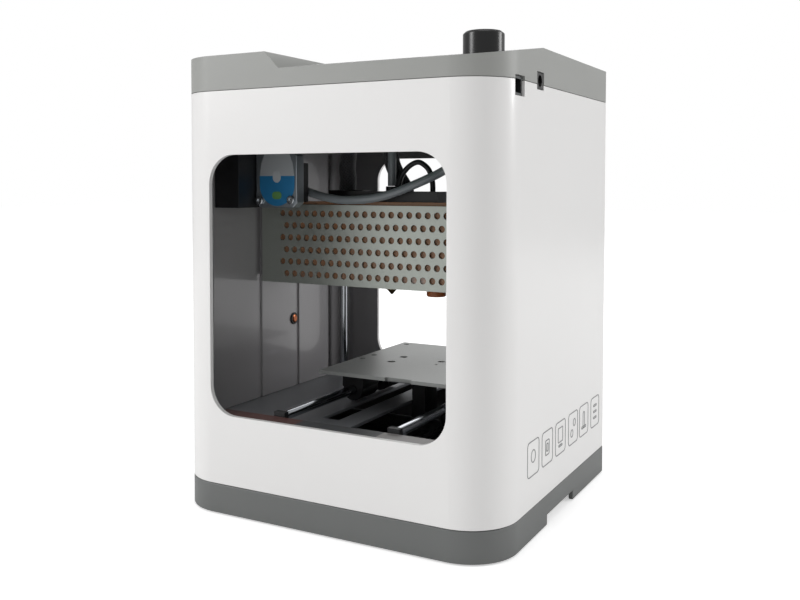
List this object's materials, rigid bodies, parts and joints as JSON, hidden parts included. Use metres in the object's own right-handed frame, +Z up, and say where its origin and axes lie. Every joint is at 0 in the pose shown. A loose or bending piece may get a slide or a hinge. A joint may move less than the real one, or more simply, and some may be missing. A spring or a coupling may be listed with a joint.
{
  "type": "desktop fdm printer",
  "caption": "Compact desktop fdm printer: rounded shell open front and back, sliding bed, lifting beam with print head, sloped top cover with a dial.",
  "frame": {"origin": "centre of the footprint on the surface the feet stand on", "axes": "+X to the right, +Y to the back, +Z up; the long open window faces -Y"},
  "size_m": [0.21, 0.2, 0.276],
  "materials": {
    "grey_plastic": "satin",
    "foot_rubber": "matte",
    "white_shell": "semi-gloss",
    "cover_grey": "satin",
    "screen": "gloss",
    "circuit_board": "satin",
    "port_steel": "satin",
    "jack_black": "satin",
    "dark_plate": "satin",
    "sill": "satin",
    "liner_grey": "semi-gloss",
    "copper_screw": "satin",
    "ground_rod": "polished",
    "motor_case": "satin",
    "black_moulding": "satin",
    "drive_steel": "satin",
    "belt_rubber": "matte",
    "panel_metal": "satin",
    "amber_sheet": "gloss",
    "feeder_case": "satin",
    "grey_tube": "satin",
    "head_black": "satin",
    "hot_end_metal": "satin",
    "nozzle_brass": "satin",
    "probe_steel": "satin",
    "lead_black": "matte",
    "braid_black": "matte",
    "bed_metal": "satin",
    "shaft_steel": "satin",
    "knob_black": "satin"
  },
  "bodies": {
    "housing": {"base_pan": "grey_plastic", "foot_1": "foot_rubber", "foot_2": "foot_rubber", "foot_3": "foot_rubber", "foot_4": "foot_rubber", "outer_shell": "white_shell", "top_cover": "cover_grey", "lcd_screen": "screen", "display_board": "circuit_board", "mainboard": "circuit_board", "usb_port": "port_steel", "dc_jack": "jack_black", "deck_plate": "dark_plate", "upper_plate": "dark_plate", "front_sill": "sill", "left_liner": "liner_grey", "right_liner": "liner_grey", "wall_screw": "copper_screw", "z_rod_left": "ground_rod", "z_rod_right": "ground_rod", "z_motor": "motor_case", "y_rod_left": "ground_rod", "y_rod_right": "ground_rod", "y_rod_block_front": "black_moulding", "y_rod_block_rear": "black_moulding", "y_motor": "motor_case", "y_idler": "drive_steel", "y_belt": "belt_rubber"},
    "beam": {"beam_panel": "panel_metal", "tint_sheet": "amber_sheet", "beam_end_left": "black_moulding", "beam_end_right": "black_moulding", "x_rod_lower": "ground_rod", "x_rod_upper": "ground_rod", "feeder_motor": "feeder_case", "feeder_bracket": "black_moulding", "feed_tube": "grey_tube", "x_motor": "motor_case", "x_belt": "belt_rubber"},
    "head": {"carriage_block": "head_black", "heat_sink": "hot_end_metal", "heater_block": "hot_end_metal", "nozzle": "nozzle_brass", "fan": "head_black", "probe": "probe_steel", "tube_fitting": "head_black", "bowden_tube": "grey_tube", "probe_lead": "lead_black", "loom_left": "braid_black", "loom_right": "braid_black"},
    "bed": {"bed_plate": "bed_metal", "bed_carriage": "dark_plate", "y_bearing_left": "black_moulding", "y_bearing_right": "black_moulding", "belt_arm": "black_moulding"},
    "lift_screw": {"lead_screw": "drive_steel"},
    "beam_pulley": {"x_pulley": "drive_steel"},
    "bed_pulley": {"y_pulley": "drive_steel"},
    "dial_shaft": {"encoder_shaft": "shaft_steel"},
    "dial": {"knob": "knob_black"}
  },
  "joints": [
    {"name": "z_lift", "type": "slide", "parent": "housing", "child": "beam", "axis": [0, 0, 1], "range_m": [-0.047, 0.05], "deforming": ["loom_left", "loom_right", "bowden_tube", "feed_tube"]},
    {"name": "x_slide", "type": "slide", "parent": "beam", "child": "head", "axis": [1, 0, 0], "range_m": [-0.04, 0.05]},
    {"name": "bed_slide", "type": "slide", "parent": "housing", "child": "bed", "axis": [0, 1, 0], "range_m": [-0.08, 0.028]},
    {"name": "screw_turn", "type": "hinge", "parent": "housing", "child": "lift_screw", "pos_m": [0.084, 0.055, 0.13], "axis": [0, 0, 1], "range_deg": [-2200, 2300]},
    {"name": "x_pulley_turn", "type": "hinge", "parent": "beam", "child": "beam_pulley", "pos_m": [0.066, 0.033, 0.158], "axis": [0, 1, 0], "range_deg": [-460, 460]},
    {"name": "y_pulley_turn", "type": "hinge", "parent": "housing", "child": "bed_pulley", "pos_m": [0, 0.072, 0.031], "axis": [1, 0, 0], "range_deg": [-800, 800]},
    {"name": "dial_push", "type": "slide", "parent": "housing", "child": "dial_shaft", "axis": [0, 0, -1], "range_m": [0, 0.0005], "stiffness_N_per_m": 2000},
    {"name": "dial_turn", "type": "hinge", "parent": "dial_shaft", "child": "dial", "pos_m": [0.084, -0.07, 0.27], "axis": [0, 0, 1], "continuous": true}
  ],
  "couplings": [
    {"joint": "screw_turn", "follows": "z_lift", "rad_per_m": 785.4},
    {"joint": "x_pulley_turn", "follows": "x_slide", "rad_per_m": 151.5},
    {"joint": "y_pulley_turn", "follows": "bed_slide", "rad_per_m": -151.5}
  ]
}
